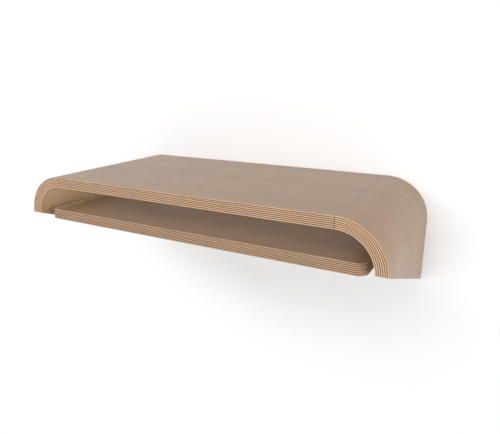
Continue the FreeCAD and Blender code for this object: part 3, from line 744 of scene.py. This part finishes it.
def ply_depths():
    """Depths of the glue lines and of the plies' middles below a face."""
    size = sizes()
    pitch = (THICKNESS - 2 * size.skin) / size.plies
    glue = [size.skin + pitch * index for index in range(1, size.plies)]
    middles = [depth - pitch / 2 for depth in glue] + [glue[-1] + pitch / 2]
    return glue, middles


def is_glue_line(depth):
    return any(abs(depth - line) < 2 * CLOSE for line in ply_depths()[0])


def cut_at_plies(top):
    """Divide a board's edges at every glue line and ply middle, below its top face."""
    glue, middles = ply_depths()
    for depth in glue + middles:
        cut_across((0, 0, top - depth), (0, 0, 1))


def bevel_seams(depth_of):
    """Break the edges of each butt joint's end face, apart from the one at the wall."""
    def at_seam(point):
        return near(abs(point.x), SEAM_X)

    def at_face(point):
        return on_a_face(depth_of(point))

    def in_front(point):
        return point.y < FRONT_Y + sizes().arris + CLOSE

    pick("EDGE", lambda edge: both_ends(edge, at_seam) and lies_square(edge, 0)
         and (both_ends(edge, at_face) or both_ends(edge, in_front)))
    bevel_picked(sizes().seam_bevel, segments=1)


def sink_glue_lines(depth_of):
    """Press the glue lines of the front edge in a little, so that each ply stands proud."""
    pick("VERT", lambda vertex: at_desk_front(vertex.co) and is_glue_line(depth_of(vertex.co)))
    bpy.ops.transform.translate(value=(0, sizes().relief, 0))


def make_top():
    """The flat middle of the top, its front edge sanded to the plies."""
    piece = add_block("top_board", TOP_LOW, TOP_HIGH)
    edit(piece)
    cut_at_plies(TOP_HIGH.z)
    pick("EDGE", lambda edge: both_ends(
        edge, lambda point: at_desk_front(point) and on_a_face(top_depth(point))))
    bevel_picked(sizes().arris)
    bevel_seams(top_depth)
    sink_glue_lines(top_depth)
    leave_edit()
    return piece


class MakeTop(bpy.types.Operator):
    """Model the flat middle of the top"""
    bl_idname = "wall_desk.make_top"
    bl_label = "Top board"

    def execute(self, context):
        piece = make_top()
        smooth(piece)
        write_places(piece, side_place)
        fit(piece, "desk", "veneered_plywood", veneered_plywood("top_plywood", 1.0), "top_panel")
        return {"FINISHED"}


def make_side():
    """The right-hand side: the board's section spun round the bend, run down and cut on a slope."""
    size = sizes()
    middle = (SEAM_X, FRONT_Y / 2, (TOP_LOW.z + TOP_HIGH.z) / 2)
    piece = add_plate("right_side_board", middle, (0, math.pi / 2, 0), (THICKNESS, -FRONT_Y))
    edit(piece)
    cut_at_plies(TOP_HIGH.z)
    bpy.ops.mesh.select_mode(type="FACE")
    bpy.ops.mesh.select_all(action="SELECT")
    bpy.ops.mesh.spin(steps=size.bend_steps, angle=math.pi / 2, center=(SEAM_X, 0, BEND_Z),
                      axis=(0, -1, 0))
    pick("FACE", lambda face: near(face.calc_center_median().z, BEND_Z) and abs(face.normal.z) > 0.9)
    extrude_picked(0, 0, SIDE_LOW.z - BEND_Z - SIDE_OVERRUN)
    close_up()
    pick("EDGE", lambda edge: edge.is_boundary)
    bpy.ops.mesh.edge_face_add()
    foot_front = TOP_HIGH.z - size.drop_front
    slope = Vector((0, SIDE_HIGH.y - FRONT_Y, SIDE_LOW.z - foot_front))
    normal = Vector((0, slope.z, -slope.y)).normalized()
    foot = Vector((0, SIDE_HIGH.y, SIDE_LOW.z))
    cut_across(foot, normal, clear_outer=True, use_fill=True)
    close_up()

    def at_foot(point):
        return near((point - foot).dot(normal), 0)

    def at_face(point):
        return on_a_face(side_depth(point))

    pairs = ((at_desk_front, at_face), (at_foot, at_face), (at_foot, at_desk_front))
    pick("EDGE", lambda edge: any(both_ends(edge, one) and both_ends(edge, other) for one, other in pairs))
    bevel_picked(size.arris)
    bevel_seams(side_depth)
    sink_glue_lines(side_depth)
    close_up()
    leave_edit()
    return piece


class MakeSides(bpy.types.Operator):
    """Model the two bent sides"""
    bl_idname = "wall_desk.make_sides"
    bl_label = "Bent sides"

    def execute(self, context):
        right = make_side()
        left = copy_piece(right, "left_side_board", mirror=True)
        # The sides' veneer is the top's, 1.09 times as bright: painted light on the sides.
        finish = veneered_plywood("side_plywood_painted_light", 1.09)
        for piece, node in ((right, "right_bent_side"), (left, "left_bent_side")):
            smooth(piece)
            write_places(piece, side_place)
            fit(piece, "desk", "veneered_plywood", finish, node)
        return {"FINISHED"}


class MakeTray(bpy.types.Operator):
    """Model the pull-out tray"""
    bl_idname = "wall_desk.make_tray"
    bl_label = "Tray"

    def execute(self, context):
        size = sizes()
        piece = add_block("tray_panel", TRAY_LOW, TRAY_HIGH)
        edit(piece)
        pick("EDGE", lambda edge: lies_square(edge, 0)
             and both_ends(edge, lambda point: near(point.y, TRAY_LOW.y)))
        bevel_picked(size.tray_corner, segments=CORNER_SEGMENTS)
        cut_at_plies(TRAY_HIGH.z)
        pick("EDGE", lambda edge: lies_square(edge, 2)
             and both_ends(edge, lambda point: on_a_face(tray_depth(point)))
             and not both_ends(edge, lambda point: near(point.y, TRAY_HIGH.y)))
        bevel_picked(size.arris)
        pick("VERT", lambda vertex: is_glue_line(tray_depth(vertex.co)))
        across, along, _ = (1 - 2 * size.relief / span for span in TRAY_HIGH - TRAY_LOW)
        bpy.ops.transform.resize(value=(across, along, 1), center_override=(TRAY_LOW + TRAY_HIGH) / 2)
        leave_edit()
        smooth(piece)
        write_places(piece, tray_place)
        # The tray's veneer is the top's, 0.84 times as dark: painted shade for its place in the slot under
        # the top.
        fit(piece, "tray", "veneered_plywood", veneered_plywood("tray_plywood_painted_shade", 0.84), "tray_board")
        return {"FINISHED"}


class FinishWoodwork(bpy.types.Operator):
    """Finish the back panel, the cleats, the dowels and the spacers"""
    bl_idname = "wall_desk.finish_woodwork"
    bl_label = "Back panel, cleats, dowels and spacers"

    def execute(self, context):
        paint_nodes(birch_plywood(), "back_panel", "desk_cleat", "wall_cleat")
        paint_nodes(beech("beech_dowels", "XYZ"), "back_panel_dowels", *on_both_hands("seam_dowels"))
        paint_nodes(beech("beech_spacers", "YXZ"), *on_both_hands("slide_spacer"))
        return {"FINISHED"}


# ------------------------------------------------------------------ slides and screws

def all_at(height):
    return lambda face: all(near(vertex.co.z, height) for vertex in face.verts)


def draw_out(steps):
    """Carry the picked face through steps of (height, factor): extruded, then made that much wider."""
    for height, factor in steps:
        extrude_picked(0, 0, height)
        bpy.ops.transform.resize(value=(factor, factor, 1), center_override=(0, 0, 0))


def add_disc(name, radius):
    """A disc round the Z axis, left in edit mode."""
    deselect_all()
    bpy.ops.mesh.primitive_circle_add(vertices=SCREW_SIDES, radius=radius, fill_type="NGON")
    piece = name_new(name)
    edit(piece)
    bpy.ops.mesh.select_all(action="SELECT")
    return piece


def cut_thread(start, length):
    """Draw the face at the height where it starts down into a threaded shank with a point."""
    pitch = sizes().screw_pitch
    turns = int(length / pitch) - 2
    pick("FACE", all_at(start))
    draw_out([(-pitch / 2, THREAD_CORE), (-pitch / 2, 1 / THREAD_CORE)] * turns)
    draw_out([(-pitch, THREAD_CORE), (turns * pitch + pitch - length, SCREW_TIP)])


def cut_recess(piece, top):
    """Sink a tapered cross into a screw's head."""
    size = sizes()
    reach, arm, depth = size.screw_recess / 2, size.screw_recess / 10, size.screw_recess / 4
    for spans in ((reach, arm), (arm, reach)):
        cutter = add_block("recess_cutter", (-spans[0], -spans[1], top - depth),
                           (spans[0], spans[1], top + depth))
        edit(cutter)
        pick("FACE", all_at(top - depth))
        bpy.ops.transform.resize(value=(0.5, 0.5, 1), center_override=(0, 0, 0))
        leave_edit()
        apply_modifier(piece, "BOOLEAN", operation="DIFFERENCE", object=cutter, solver="EXACT")
        bpy.data.objects.remove(cutter)


def make_pan_screw(low, high):
    """A pan head screw down the Z axis, its head resting at Z = 0."""
    size = sizes()
    head = (high.z - low.z) / 2
    piece = add_disc("pan_screw", head)
    draw_out([(share * size.screw_head, factor) for share, factor in PAN_HEAD_STEPS])
    pick("FACE", all_at(0))
    bpy.ops.mesh.inset(thickness=head - size.screw_shank / 2)
    cut_thread(0, high.x - low.x - size.screw_head)
    close_up()
    leave_edit()
    cut_recess(piece, size.screw_head)
    smooth(piece)
    return piece


def make_cleat_screw(low, high):
    """A countersunk screw down the Z axis, its head flush with Z = 0."""
    size = sizes()
    head = (high.z - low.z) / 2
    sink = head - size.screw_shank / 2
    piece = add_disc("cleat_screw", head)
    extrude_picked(0, 0, -CLEAT_HEAD_BRIM * sink)
    draw_out([(-sink, size.screw_shank / 2 / head)])
    head_height = (1 + CLEAT_HEAD_BRIM) * sink
    cut_thread(-head_height, high.y - low.y - head_height)
    close_up()
    leave_edit()
    cut_recess(piece, 0)
    smooth(piece)
    return piece


def place_row(screw, name, first, last, count, turn):
    """Equally spaced copies of a screw as one piece."""
    copies = []
    for index in range(count):
        spot = first.lerp(last, index / (count - 1))
        copies.append(copy_piece(screw, f"{name}_{index}", offset=spot, turn=turn))
    return join_pieces(copies, name)


class MakeScrews(bpy.types.Operator):
    """Model the screws of the slides and of the desk cleat"""
    bl_idname = "wall_desk.make_screws"
    bl_label = "Screws"

    def execute(self, context):
        finish = metal("passivated_zinc", finishes().screw, 0.34, 0.2, 1.4)
        pan = make_pan_screw(*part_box("right_tray_screws"))
        for hand, sign in HANDS:
            for kind, body, facing in (("slide_screws", "desk", -sign), ("tray_screws", "tray", sign)):
                low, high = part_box(f"{hand}_{kind}")
                head_side = high.x if facing > 0 else low.x
                seat = head_side - facing * sizes().screw_head
                radius = (high.z - low.z) / 2
                row = place_row(pan, f"{hand}_{kind.replace('slide', 'side')}_row",
                                Vector((seat, low.y + radius, low.z + radius)),
                                Vector((seat, high.y - radius, low.z + radius)), SLIDE_SCREWS,
                                (0, facing * math.pi / 2, 0))
                fit(row, body, "zinc_screw", finish, f"{hand}_{kind}")
        low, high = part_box("desk_cleat_screws")
        radius = (high.z - low.z) / 2
        cleat = make_cleat_screw(low, high)
        row = place_row(cleat, "cleat_screw_row",
                        Vector((low.x + radius, high.y, low.z + radius)),
                        Vector((high.x - radius, high.y, low.z + radius)), CLEAT_SCREWS,
                        (-math.pi / 2, 0, 0))
        fit(row, "desk", "zinc_screw", finish, "desk_cleat_screws")
        for start in (pan, cleat):
            bpy.data.objects.remove(start)
        return {"FINISHED"}


def make_stop():
    """The right-hand rubber stop: a rounded block, hollowed towards the members that it stops."""
    low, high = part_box("right_slide_bumper")
    piece = add_block("right_stop", low, high)
    wall = (high.x - low.x) / 6
    edit(piece)
    bpy.ops.mesh.select_all(action="SELECT")
    bevel_picked(wall / 3)
    close_up()
    pick("FACE", lambda face: face.normal.y < -0.99 and face.calc_area() > wall * wall)
    bpy.ops.mesh.inset(thickness=wall)
    extrude_picked(0, wall, 0)
    bpy.ops.mesh.inset(thickness=wall / 4)
    leave_edit()
    smooth(piece)
    return piece


class MakeStops(bpy.types.Operator):
    """Model the rubber stops at the back of the slides"""
    bl_idname = "wall_desk.make_stops"
    bl_label = "Rubber stops"

    def execute(self, context):
        right = make_stop()
        left = copy_piece(right, "left_stop", mirror=True)
        finish = stop_rubber()
        for piece, hand in ((right, "right"), (left, "left")):
            fit(piece, "desk", "rubber", finish, f"{hand}_slide_bumper")
        return {"FINISHED"}


class FinishSlides(bpy.types.Operator):
    """Finish the members, the ball retainers and the balls of the slides"""
    bl_idname = "wall_desk.finish_slides"
    bl_label = "Slides"

    def execute(self, context):
        look = finishes()
        paint_nodes(metal("zinc_strip", look.zinc, 0.30, 1.0, 0.8),
                    *on_both_hands("slide_outer", "slide_middle", "slide_inner"))
        paint_nodes(metal("retainer_strip", look.retainer, 0.36, 1.2, 0.3),
                    *on_both_hands("outer_retainers", "inner_retainers"))
        paint_nodes(metal("bearing_balls", look.ball, 0.12, 0.0, 0.3),
                    *on_both_hands("outer_balls", "inner_balls"))
        return {"FINISHED"}


# ------------------------------------------------------------------ stage

def join_shaders(tree, kind, first, second, factor=None):
    node = add_node(tree, kind)
    if factor is not None:
        feed(tree, factor, node.inputs[0])
    feed(tree, first, node.inputs[-2])
    feed(tree, second, node.inputs[-1])
    return node.outputs[0]


def see_through_back(tree, shown, surface):
    """The surface where shown is 1 and the front faces the ray, and nothing elsewhere."""
    backfacing = add_node(tree, "ShaderNodeNewGeometry").outputs["Backfacing"]
    factor = compute(tree, "MULTIPLY", shown, compute(tree, "SUBTRACT", 1.0, backfacing))
    clear = add_node(tree, "ShaderNodeBsdfTransparent").outputs[0]
    return join_shaders(tree, "ShaderNodeMixShader", clear, surface, factor)


def pale_paint(name, glow, to_every_ray):
    """Matt paint that the camera sees a little brighter than it lights the desk, and white further off."""
    material = bpy.data.materials.new(name)
    material.use_nodes = True
    tree = material.node_tree
    tree.nodes.remove(tree.nodes["Principled BSDF"])
    seen = seen_directly(tree)
    place = object_place(tree)
    matt = add_node(tree, "ShaderNodeBsdfDiffuse")
    feed(tree, blend_colours(tree, noise(tree, place, 4.0), *map(opaque, PAINT_TONES)),
         matt.inputs["Color"])
    shine = add_node(tree, "ShaderNodeEmission")
    feed(tree, compute(tree, "MULTIPLY", seen, glow), shine.inputs["Strength"])
    painted = join_shaders(tree, "ShaderNodeAddShader", matt.outputs[0], shine.outputs[0])
    away = add_node(tree, "ShaderNodeVectorMath", operation="LENGTH")
    reach, shift = stage_settings().shade_reach, stage_settings().shade_shift
    feed(tree, stretched(tree, place, SHADE_SHAPE, (-shift, 0, 0)), away.inputs[0])
    far = remap(tree, away.outputs["Value"], reach, 2 * reach, smoothly=True)
    white = add_node(tree, "ShaderNodeEmission").outputs[0]
    painted = join_shaders(tree, "ShaderNodeMixShader", painted, white,
                           compute(tree, "MULTIPLY", seen, far))
    feed(tree, see_through_back(tree, 1.0 if to_every_ray else seen, painted),
         tree.nodes["Material Output"].inputs["Surface"])
    return material


def add_lamp(name, spot, aim, spans, watts, tint):
    """A soft rectangular lamp that the camera doesn't see, its first span level."""
    deselect_all()
    bpy.ops.object.light_add(type="AREA", location=spot)
    lamp = bpy.context.object
    lamp.name = name
    lamp.data.shape = "RECTANGLE"
    lamp.data.size, lamp.data.size_y = spans
    lamp.data.energy = watts
    lamp.data.color = tint
    lamp.visible_camera = False
    lamp.rotation_euler = (Vector(aim) - Vector(spot)).to_track_quat("-Z", "Y").to_euler()


class SetStage(bpy.types.Operator):
    """Set up the wall, the floor, the light and the camera"""
    bl_idname = "wall_desk.set_stage"
    bl_label = "Stage"

    def execute(self, context):
        settings = stage_settings()
        scene = context.scene
        scene.view_settings.view_transform = "Standard"
        deselect_all()
        bpy.ops.object.camera_add(location=settings.camera,
                                  rotation=(math.pi / 2 - settings.tilt, 0, settings.turn))
        camera = context.object
        camera.data.lens = settings.lens
        scene.camera = camera

        floor_z = TOP_HIGH.z - settings.floor_drop
        wall = add_plate("wall", (0, WALL_GAP, floor_z + WALL_HEIGHT / 2), (math.pi / 2, 0, 0),
                         (WALL_WIDTH, WALL_HEIGHT))
        wall.data.materials.append(pale_paint("wall_paint", settings.wall_glow, False))
        floor = add_plate("floor", (0, WALL_GAP - WALL_WIDTH / 2, floor_z), (0, 0, 0),
                          (WALL_WIDTH, WALL_WIDTH))
        floor.data.materials.append(pale_paint("floor_paint", settings.floor_glow, True))

        world = bpy.data.worlds.new("sky")
        scene.world = world
        world.use_nodes = True
        tree = world.node_tree
        background = tree.nodes["Background"]
        background.inputs["Color"].default_value = opaque(WHITE)
        feed(tree, remap(tree, seen_directly(tree), 0.0, 1.0, settings.sky, 1.0),
             background.inputs["Strength"])

        middle = (0, -0.2, 0)
        under_top = TOP_LOW.z - 0.002
        for name, spot, aim, spans, watts, tint in (
                ("key_lamp", (-2.2, -1.6, 1.6), middle, (1.0, 1.0), settings.key, WHITE),
                ("high_lamp", (0, -2.6, 1.7), middle, (2.0, 0.8), settings.high, WHITE),
                ("front_lamp", (0.2, -3.0, 0.38), middle, (2.6, 0.6), settings.front, WHITE),
                ("side_lamp", (2.8, -1.4, 0.1), middle, (1.0, 0.8), settings.side, WHITE),
                ("slot_lamp", (0, -0.23, under_top), (0, -0.23, 0), (0.78, 0.40), settings.slot, WHITE),
                ("slot_end_lamp", (-0.42, -0.28, 0.035), (-0.49, -0.28, 0.060), (0.34, 0.03),
                 settings.slot_end, COOL_WHITE),
                ("right_bend_lamp", (0.425, -0.26, 0.070), (0.28, -0.26, 0), (0.36, 0.02),
                 settings.bend, WHITE),
                ("left_bend_lamp", (-0.425, -0.26, 0.070), (-0.28, -0.26, 0), (0.36, 0.02),
                 settings.bend, WHITE)):
            add_lamp(name, spot, aim, spans, watts, tint)
        return {"FINISHED"}


class DeskPanel(bpy.types.Panel):
    """Lists the steps that dress the desk"""
    bl_idname = "VIEW3D_PT_wall_desk"
    bl_label = "Wall Desk"
    bl_space_type = "VIEW_3D"
    bl_region_type = "UI"
    bl_category = "Wall Desk"

    def draw(self, context):
        for step in STEPS:
            self.layout.operator(step.bl_idname)
        for group in (context.scene.desk_sizes, context.scene.desk_finishes, context.scene.desk_stage):
            box = self.layout.box()
            for name in group.bl_rna.properties.keys():
                if name not in ("rna_type", "name"):
                    box.prop(group, name)


SETTINGS = (DeskSizes, DeskFinishes, DeskStage)
STEPS = (SetStage, MakeTop, MakeSides, MakeTray, MakeScrews, MakeStops, FinishWoodwork, FinishSlides)


def register():
    for item in (*SETTINGS, *STEPS, DeskPanel):
        bpy.utils.register_class(item)
    bpy.types.Scene.desk_sizes = PointerProperty(type=DeskSizes)
    bpy.types.Scene.desk_finishes = PointerProperty(type=DeskFinishes)
    bpy.types.Scene.desk_stage = PointerProperty(type=DeskStage)


def unregister():
    del bpy.types.Scene.desk_stage
    del bpy.types.Scene.desk_finishes
    del bpy.types.Scene.desk_sizes
    for item in reversed((*SETTINGS, *STEPS, DeskPanel)):
        bpy.utils.unregister_class(item)


def main():
    register()
    bpy.ops.wall_desk.set_stage()
    bpy.ops.wall_desk.make_top()
    bpy.ops.wall_desk.make_sides()
    bpy.ops.wall_desk.make_tray()
    bpy.ops.wall_desk.make_screws()
    bpy.ops.wall_desk.make_stops()
    bpy.ops.wall_desk.finish_woodwork()
    bpy.ops.wall_desk.finish_slides()


if __name__ == "__main__":
    main()
